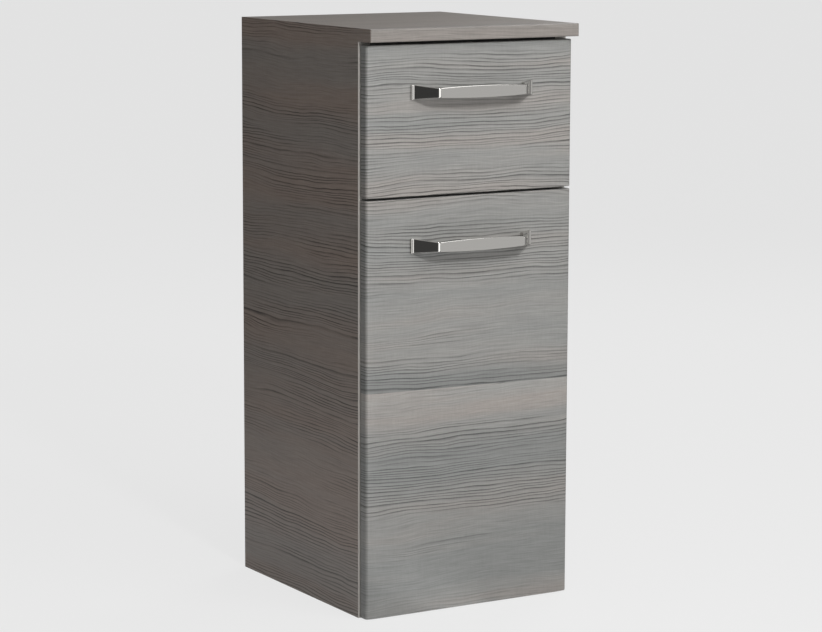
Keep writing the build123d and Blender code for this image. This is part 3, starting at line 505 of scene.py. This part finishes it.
def chipboard_colour(tree, place):
    """Pressed flakes of light and dark wood."""
    flakes = add_node(tree, "ShaderNodeTexVoronoi", {"Vector": place, "Scale": 1.0 / chip_size})
    grey = add_node(tree, "ShaderNodeSeparateColor", {0: flakes.outputs["Color"]})
    return add_node(tree, "ShaderNodeValToRGB", {0: grey.outputs[0]}, stops=[
        (0.0, linear("#8A6B48")),
        (0.5, linear("#B4946A")),
        (1.0, linear("#CDB38A")),
    ]).outputs[0]


def larch_laminate(name, grain, face, ends=None, raw=(), planks=False):
    """Larch laminate with its grain along X or Y. face and ends are prints, raw lists the sawn faces."""
    material, tree = new_material(name)
    coordinates = add_node(tree, "ShaderNodeTexCoord")
    place = add_node(tree, "ShaderNodeSeparateXYZ", {0: coordinates.outputs["Object"]}).outputs
    turned = add_node(tree, "ShaderNodeVectorMath", {0: coordinates.outputs["Normal"]}, operation="ABSOLUTE")
    facing = add_node(tree, "ShaderNodeSeparateXYZ", {0: turned.outputs[0]}).outputs
    faces = {axis: chain(tree, facing[axis], ("GREATER_THAN", face_turn)) for axis in "XYZ"}

    def choose(factor, elsewhere, there, data_type="FLOAT"):
        """One value where the factor is 1, and another elsewhere."""
        return add_node(tree, "ShaderNodeMix", {
            "Factor": factor, "A": elsewhere, "B": there,
        }, data_type=data_type).outputs["Result"]

    # On a front the print runs on round both ends, so that depth counts as length there
    if planks:
        side = chain(tree, place["X"], ("SIGN", 0.0))
        back = chain(tree, place["Y"], ("SUBTRACT", face_y))
        along = chain(tree, side, ("MULTIPLY", back), ("ADD", place["X"]))
        across = choose(faces["Z"], place["Z"], place["Y"])
        upper, rows, shade = front_planks(tree, along, across)
        seed = chain(tree, upper, ("MULTIPLY", plank_seed_step), ("ADD", face["seed"]))
        face = {**face, "seed": seed, "rows": rows, "shade": shade}
    else:
        flat_along, flat_across = ("X", "Y") if grain == "X" else ("Y", "X")
        along = choose(faces["Z"], choose(faces["X"], place["X"], place["Y"]), place[flat_along])
        across = choose(faces["Z"], place["Z"], place[flat_across])
    colour, relief = larch_print(tree, along, across, **face)
    if ends:
        end_colour, end_relief = larch_print(tree, along, across, **ends)
        colour = choose(faces["X"], colour, end_colour, "RGBA")
        relief = choose(faces["X"], relief, end_relief)
    if raw:
        bare = chain(tree, faces[raw[0]], *(("MAXIMUM", faces[axis]) for axis in raw[1:]))
        colour = choose(bare, colour, chipboard_colour(tree, coordinates.outputs["Object"]), "RGBA")

    rough = add_node(tree, "ShaderNodeMapRange", {
        0: relief, 1: deepest_line, 2: highest_fibre, 3: rough_in_lines, 4: rough_on_fibres,
    }).outputs[0]
    bump = add_node(tree, "ShaderNodeBump", {
        "Height": relief, "Strength": texture_strength, "Distance": texture_depth,
    }).outputs[0]
    shader = add_node(tree, "ShaderNodeBsdfPrincipled", {
        "Base Color": colour, "Roughness": rough, "IOR": melamine_ior, "Normal": bump,
    })
    close_material(tree, shader)
    return material


print("chips", chip_size / MM, "mm wide")

# %% [markdown]
# Each board has a print of its own: a seed, which moves the pattern on, three tones from cool to warm and
# the strength of the dark lines. The fronts are the greyest and have the strongest lines. The sides are
# browner and a little darker, and this is partly painted shade: it stands in for the dim, warm light on the
# cabinet's left side. The plate and its strip are calmer, and the boards inside paler.

# %% Laminates of the boards
front_print = {"seed": 2.0, "colours": ("#888987", "#908F8C", "#98928D"), "line_strength": 0.74}
# The side print's browner, darker tones are partly painted shade for the dim left side
side_print_painted_shade = {"seed": 11.0, "colours": ("#8C857F", "#8F857E", "#92847B"), "line_strength": 0.85}
plate_print = {"seed": 23.0, "colours": ("#96908B", "#98918B", "#9A938C"), "line_strength": 0.40}
strip_print = {"seed": 29.0, "colours": ("#837F7B", "#87827D", "#8B847F"), "line_strength": 0.30}
inside_print = {"seed": 37.0, "colours": ("#A3A39F", "#ABA9A5", "#B1AAA5"), "line_strength": 0.40}

front_laminate = larch_laminate("grey_larch_front", "X", front_print, planks=True)
side_laminate = larch_laminate("grey_larch_side_painted_shade", "Y", side_print_painted_shade, raw=("Y", "Z"))
plate_laminate = larch_laminate("grey_larch_plate", "X", plate_print, ends=side_print_painted_shade)
plate_strip = larch_laminate("grey_larch_strip", "X", strip_print, ends=side_print_painted_shade)
inside_laminate = larch_laminate("grey_larch_inside", "X", inside_print, raw=("Y",))
rail_laminate = larch_laminate("grey_larch_rail", "X", inside_print, raw=("X", "Z"))
print("laminates ready")

# %% [markdown]
# Plastic, foil and lacquer have one colour with a faint mottle, and light on it shows more than the
# colour does. One function makes them all from the size of that mottle along each axis.

# %% Mottled finishes
mottle_low = 0.3
mottle_high = 0.7
mottle_depth = 0.05 * MM


def mottled(name, colour, grain_size, darkest, palest, rough, bump_strength=0.4, detail=4.0, ior=1.5):
    """One colour with a faint mottle, whose size is given along X, Y and Z."""
    material, tree = new_material(name)
    place = add_node(tree, "ShaderNodeTexCoord").outputs["Object"]
    scale = [1.0 / size for size in grain_size]
    scaled = add_node(tree, "ShaderNodeMapping", {"Vector": place, "Scale": scale}).outputs[0]
    noise = add_node(tree, "ShaderNodeTexNoise", {
        "Vector": scaled, "Scale": 1.0, "Detail": detail,
    }).outputs[0]
    light = add_node(tree, "ShaderNodeMapRange", {
        0: noise, 1: mottle_low, 2: mottle_high, 3: darkest, 4: palest,
    }).outputs[0]
    shade = add_node(tree, "ShaderNodeVectorMath", {
        0: linear(colour)[:3], "Scale": light,
    }, operation="SCALE").outputs[0]
    bump = add_node(tree, "ShaderNodeBump", {
        "Height": noise, "Strength": bump_strength, "Distance": mottle_depth,
    }).outputs[0]
    shader = add_node(tree, "ShaderNodeBsdfPrincipled", {
        "Base Color": shade, "Roughness": rough, "IOR": ior, "Normal": bump,
    })
    close_material(tree, shader)
    return material


print("mottle", mottle_depth / MM, "mm deep")

# %% [markdown]
# The strips on the boards' front edges are ABS plastic, dyed through and pressed on hot. They are a
# little paler than the laminate, satin, and faintly streaked along their length by the extruder.

# %% Edge strips
streak_length = 60.0 * MM
streak_width = 0.5 * MM
abs_look = {"darkest": 0.93, "palest": 1.05, "rough": 0.4, "bump_strength": 0.3, "detail": 2.0, "ior": 1.52}

upright_streaks = (streak_width, streak_width, streak_length)
level_streaks = (streak_length, streak_width, streak_width)
upright_strip = mottled("abs_strip_upright", "#C2BEB8", upright_streaks, **abs_look)
level_strip = mottled("abs_strip_level", "#A09D98", level_streaks, **abs_look)
print("edge strips", upright_strip.name, level_strip.name)

# %% [markdown]
# The drawer's boards are wrapped in a plain grey foil. The front rail under the plate gets a near-black
# finish, which is painted shade: it keeps the gap over the drawer as black as the shade deep in it. The
# thin sheets, the cabinet's back and the drawer's bottom, are hardboard: pressed brown fibre with a
# lacquer on the side that shows. Beech dowels and soft plastic bumpers are small, so their specks are fine.

# %% Foil, hardboard and small parts
def plain_sheet(name, colour, rough, speck_size, contrast):
    """A plain finish with specks that are as large in every direction."""
    return mottled(name, colour, (speck_size,) * 3, 1.0 - contrast, 1.0 + contrast, rough)


drawer_foil = plain_sheet("grey_foil", "#B3B1AC", 0.5, 0.9 * MM, 0.05)
# Painted shade: a near-black finish for the front rail, so the gap over the drawer looks black
painted_shade_foil = plain_sheet("painted_shade_foil", "#2F2D2B", 0.55, 0.9 * MM, 0.08)
hardboard = plain_sheet("lacquered_hardboard", "#A7A49E", 0.45, 1.6 * MM, 0.06)
beech = plain_sheet("beech_dowel", "#B98F63", 0.6, 0.7 * MM, 0.12)
bumper_plastic = plain_sheet("soft_bumper", "#CFCFCB", 0.35, 1.2 * MM, 0.03)
print("plain finishes ready")

# %% [markdown]
# Metals differ by their coat and by how they were worked. Chrome on the handles is polished, nickel on
# the hinges is satin, zinc on the runners and screws is bluish and a little cloudy from its bath.

# %% Metals
metal_relief = 0.3


def plated_metal(name, colour, rough_low, rough_high, cloud_size, scratch_depth):
    """A plated metal whose gloss varies in soft clouds, with a fine relief."""
    material, tree = new_material(name)
    coordinates = add_node(tree, "ShaderNodeTexCoord")
    cloud = add_node(tree, "ShaderNodeTexNoise", {
        "Vector": coordinates.outputs["Object"], "Scale": 1.0 / cloud_size, "Detail": 5.0,
    })
    rough = add_node(tree, "ShaderNodeMapRange", {
        0: cloud.outputs[0], 1: mottle_low, 2: mottle_high, 3: rough_low, 4: rough_high,
    })
    bump = add_node(tree, "ShaderNodeBump", {
        "Height": cloud.outputs[0], "Strength": metal_relief, "Distance": scratch_depth,
    })
    shader = add_node(tree, "ShaderNodeBsdfPrincipled", {
        "Base Color": linear(colour), "Metallic": 1.0,
        "Roughness": rough.outputs[0], "Normal": bump.outputs[0],
    })
    close_material(tree, shader)
    return material


chrome = plated_metal("polished_chrome", "#C9C7C3", 0.05, 0.11, 6.0 * MM, 0.004 * MM)
nickel = plated_metal("satin_nickel", "#BDB9B0", 0.22, 0.32, 2.0 * MM, 0.02 * MM)
zinc = plated_metal("bright_zinc", "#B4B8BC", 0.28, 0.42, 3.0 * MM, 0.02 * MM)
bearing_steel = plated_metal("bearing_steel", "#C4C6C8", 0.05, 0.1, 1.0 * MM, 0.002 * MM)
cast_zinc = plated_metal("cast_zinc", "#9B9C9D", 0.4, 0.55, 0.8 * MM, 0.05 * MM)
print("metals ready, materials in all", len(bpy.data.materials))

# %% [markdown]
# A CAD node keeps its shape and gets its finish in its material slots. The list below says which finish
# each kind of piece has, and every node is in it once.

# %% Finishes of the nodes
finishes = {
    front_laminate: ["drawer_front", "door_panel"],
    side_laminate: ["left_side_panel", "right_side_panel"],
    plate_laminate: ["top_plate"],
    plate_strip: ["top_plate_front_band"],
    inside_laminate: ["bottom_panel", "divider_panel", "top_rail_rear", "shelf"],
    rail_laminate: ["hanging_rail"],
    # The front rail's near-black finish is painted shade for the gap over the drawer
    painted_shade_foil: ["top_rail_front"],
    upright_strip: ["left_side_front_band", "right_side_front_band"],
    level_strip: ["bottom_front_band", "divider_front_band", "shelf_front_band"],
    hardboard: ["back_panel", "drawer_bottom"],
    drawer_foil: ["drawer_left_side", "drawer_right_side", "drawer_inner_front", "drawer_back"],
    beech: ["carcass_dowels", "drawer_dowels"],
    bumper_plastic: ["drawer_bumpers", "door_bumpers"],
    chrome: ["drawer_handle", "door_handle"],
    nickel: ["hinge_arms", "hinge_arm_pins", "hinge_mounting_plates", "hinge_long_links", "hinge_short_links",
             "hinge_cups", "hinge_cup_pins"],
    zinc: ["left_runner_outer", "right_runner_outer", "runner_middles", "left_runner_inner",
           "right_runner_inner", "outer_ball_cages", "inner_ball_cages", "runner_cabinet_screws",
           "runner_drawer_screws", "top_plate_screws", "cam_bolts", "shelf_pins", "drawer_handle_screws",
           "door_handle_screws", "drawer_front_screws", "hinge_plate_screws", "hinge_adjusting_screws",
           "hinge_cup_screws"],
    bearing_steel: ["outer_cage_balls", "inner_cage_balls"],
    cast_zinc: ["cam_discs"],
}
dressed = []
for material, names in finishes.items():
    for name in names:
        mesh = nodes[name].data
        mesh.materials.clear()
        mesh.materials.append(material)
        dressed.append(name)
print("dressed", len(dressed), "left", sorted(set(nodes) - set(dressed)))

# %% [markdown]
# A bow handle is cast in zinc, ground flat on its front and chromed. Its bar swells in the middle, turns
# through a tight bend and widens into a foot. It could be swept along a curve, but then its feet would
# have the section of the bar. So half of it is modelled flat, in plan, and gets its height later. The
# foot has a flat pad beside the leg, which slopes a little to the outside.

# %% Sizes of the bow handle
handle_low, handle_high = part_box("drawer_handle")
bow_front = handle_low.y
bow_half = handle_high.x
bow_middle = (handle_high.z + handle_low.z) / 2
bar_half = 63.5 * MM
bar_thickness = 4.0 * MM
bar_height = 15.0 * MM
neck_height = 11.5 * MM
bend_radius = 6.0 * MM
foot_height = handle_high.z - handle_low.z
foot_width = 15.0 * MM
foot_rim = 3.0 * MM
foot_depth = 6.0 * MM
foot_pad = 3.5 * MM
foot_slope = 0.2 * MM

leg_corner = Vector((bow_half - foot_pad, face_y - foot_rim, 0.0))
bend_corner = Vector((bar_half, bow_front, 0.0))
leg_angle = math.atan2(leg_corner.y - bend_corner.y, leg_corner.x - bend_corner.x)
bend_x = bar_half - bend_radius * math.tan(leg_angle / 2)
bend_centre = Vector((bend_x, bow_front + bend_radius, 0.0))
print("handle", round(2 * bow_half / MM, 1), "mm long, leg at", round(math.degrees(leg_angle), 1), "degrees")

# %% [markdown]
# In edit mode an operator works on what is selected, and a script has no pointer to select with. These
# helpers select points by their place, move one of them, and run an edge on to a new place.

# %% Edit helpers
near = 0.02 * MM


def select_where(piece, test):
    """Selects the vertices of a piece that pass a test, in edit mode."""
    bpy.ops.object.mode_set(mode="EDIT")
    bpy.ops.mesh.select_mode(type="VERT")
    bpy.ops.mesh.select_all(action="DESELECT")
    bpy.ops.object.mode_set(mode="OBJECT")
    for vertex in piece.data.vertices:
        vertex.select = test(vertex.co)
    bpy.ops.object.mode_set(mode="EDIT")


def move_point(piece, start, end):
    """Moves the vertex at one place to another."""
    select_where(piece, lambda place: (place - start).length < near)
    bpy.ops.transform.translate(value=end - start)


def run_edge(piece, edge_start, edge_end):
    """Extrudes an edge, given by its outer and inner point, to a new outer and inner point."""
    select_where(piece, lambda place: min((place - point).length for point in edge_start) < near)
    step = (edge_end[0] + edge_end[1] - edge_start[0] - edge_start[1]) / 2
    bpy.ops.mesh.extrude_region_move(TRANSFORM_OT_translate={"value": step})
    for start, end in zip(edge_start, edge_end):
        move_point(piece, start + step, end)


print("a point is found within", near / MM, "mm of its place")

# %% [markdown]
# The plan starts as a plane, which is half of the bar. Cuts across it let the bar swell later. Its end
# edge is spun round the bend, and more edges are extruded for the leg and the foot.

# %% Bow handle, in plan
bar_cuts = 8
bend_steps = 8
leg_steps = 3

deselect()
bpy.ops.mesh.primitive_plane_add(size=1.0, location=(bend_x / 2, bow_front + bar_thickness / 2, 0.0))
bow = bpy.context.active_object
bow.name = "drawer_bow_handle"
bow.scale = (bend_x, bar_thickness, 1.0)
bpy.ops.object.transform_apply(location=True, rotation=True, scale=True)
for step in range(1, bar_cuts):
    select_where(bow, lambda place: True)
    bpy.ops.mesh.bisect(plane_co=(bend_x * step / bar_cuts, 0.0, 0.0), plane_no=(1.0, 0.0, 0.0))

select_where(bow, lambda place: abs(place.x - bend_x) < near)
bpy.ops.mesh.spin(steps=bend_steps, angle=-leg_angle, center=bend_centre, axis=(0.0, 0.0, 1.0))
spoke = Vector((math.sin(leg_angle), -math.cos(leg_angle), 0.0))
leg_start = (bend_centre + spoke * bend_radius, bend_centre + spoke * (bend_radius - bar_thickness))
leg_end = (leg_corner, Vector((bow_half - foot_width, face_y - foot_depth, 0.0)))
edge = leg_start
for step in range(1, leg_steps + 1):
    next_edge = tuple(a.lerp(b, step / leg_steps) for a, b in zip(leg_start, leg_end))
    run_edge(bow, edge, next_edge)
    edge = next_edge
for depth in (foot_rim - foot_slope, 0.0):
    outer = Vector((bow_half, face_y - depth, 0.0))
    next_edge = (outer, outer - Vector((foot_width, 0.0, 0.0)))
    run_edge(bow, edge, next_edge)
    edge = next_edge
bpy.ops.object.mode_set(mode="OBJECT")
print("half bow in plan", len(bow.data.vertices), "points")

# %% [markdown]
# Now the plan gets its height. All of it is extruded to the height of the foot, and then the points at
# each place along the bow are scaled in Z to the height that the bow has there: an arc over the bar, and
# a straight line from the neck to the foot.

# %% Bow handle, its height
def bow_height(x):
    """How tall the bow is at a distance from its middle."""
    if x > bar_half:
        return neck_height + (foot_height - neck_height) * (x - bar_half) / (bow_half - bar_half)
    return neck_height + (bar_height - neck_height) * (1.0 - (x / bar_half) ** 2)


select_where(bow, lambda place: True)
bpy.ops.transform.translate(value=(0.0, 0.0, -foot_height / 2))
bpy.ops.mesh.extrude_region_move(TRANSFORM_OT_translate={"value": (0.0, 0.0, foot_height)})
bpy.ops.object.mode_set(mode="OBJECT")
for x in sorted({round(vertex.co.x, 6) for vertex in bow.data.vertices}):
    select_where(bow, lambda place: abs(place.x - x) < near)
    scale = bow_height(x) / foot_height
    bpy.ops.transform.resize(value=(1.0, 1.0, scale), center_override=(0.0, 0.0, 0.0))
select_where(bow, lambda place: True)
bpy.ops.transform.translate(value=(0.0, 0.0, bow_middle))
select_where(bow, lambda place: abs(place.x) < near)
bpy.ops.mesh.delete(type="ONLY_FACE")
bpy.ops.object.mode_set(mode="OBJECT")
print("half bow", len(bow.data.polygons), "faces")

# %% [markdown]
# A mirror makes the other half, and a bevel rounds every edge, because each edge of a cast and polished
# handle catches a line of light. The steps on the inside of the bend are shorter than the bevel is wide,
# and its clamp would shrink the whole bevel to them. So the clamp is off.

# %% Bow handle, mirrored and rounded
bow_edge = 0.6 * MM
bow_edge_steps = 4
sharp_turn = math.radians(32.0)
smooth_turn = math.radians(40.0)


def apply_modifiers(piece):
    """Applies every modifier of a piece in its order."""
    pick(piece)
    for modifier in list(piece.modifiers):
        bpy.ops.object.modifier_apply(modifier=modifier.name)


mirror = bow.modifiers.new("mirror", "MIRROR")
mirror.use_axis = (True, False, False)
mirror.merge_threshold = near
apply_modifiers(bow)
select_where(bow, lambda place: True)
bpy.ops.mesh.normals_make_consistent(inside=False)
bpy.ops.object.mode_set(mode="OBJECT")

edges = bow.modifiers.new("edges", "BEVEL")
edges.width = bow_edge
edges.segments = bow_edge_steps
edges.use_clamp_overlap = False
edges.limit_method = "ANGLE"
edges.angle_limit = sharp_turn
even_shading = bow.modifiers.new("even_shading", "WEIGHTED_NORMAL")
even_shading.keep_sharp = True
pick(bow)
bpy.ops.object.shade_smooth_by_angle(angle=smooth_turn)
apply_modifiers(bow)
bow.data.materials.append(chrome)
print("bow handle", len(bow.data.polygons), "faces")

# %% [markdown]
# Both handles are the same casting, so the lower one is a copy with its own mesh, moved down to the place
# of the door's handle. Each stands for the plain handle of the frame and moves with its drawer or door.

# %% Both handles in place
door_low, door_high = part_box("door_handle")
lower_middle = (door_high.z + door_low.z) / 2
lower_bow = bow.copy()
lower_bow.data = bow.data.copy()
lower_bow.name = "door_bow_handle"
bpy.context.scene.collection.objects.link(lower_bow)
lower_bow.data.transform(Matrix.Translation((0.0, 0.0, lower_middle - bow_middle)))
for piece, node, body in ((bow, "drawer_handle", "drawer"), (lower_bow, "door_handle", "door")):
    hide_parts(node)
    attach(piece, body)
print("handles at", round(bow_middle / MM, 1), "and", round(lower_middle / MM, 1), "mm")
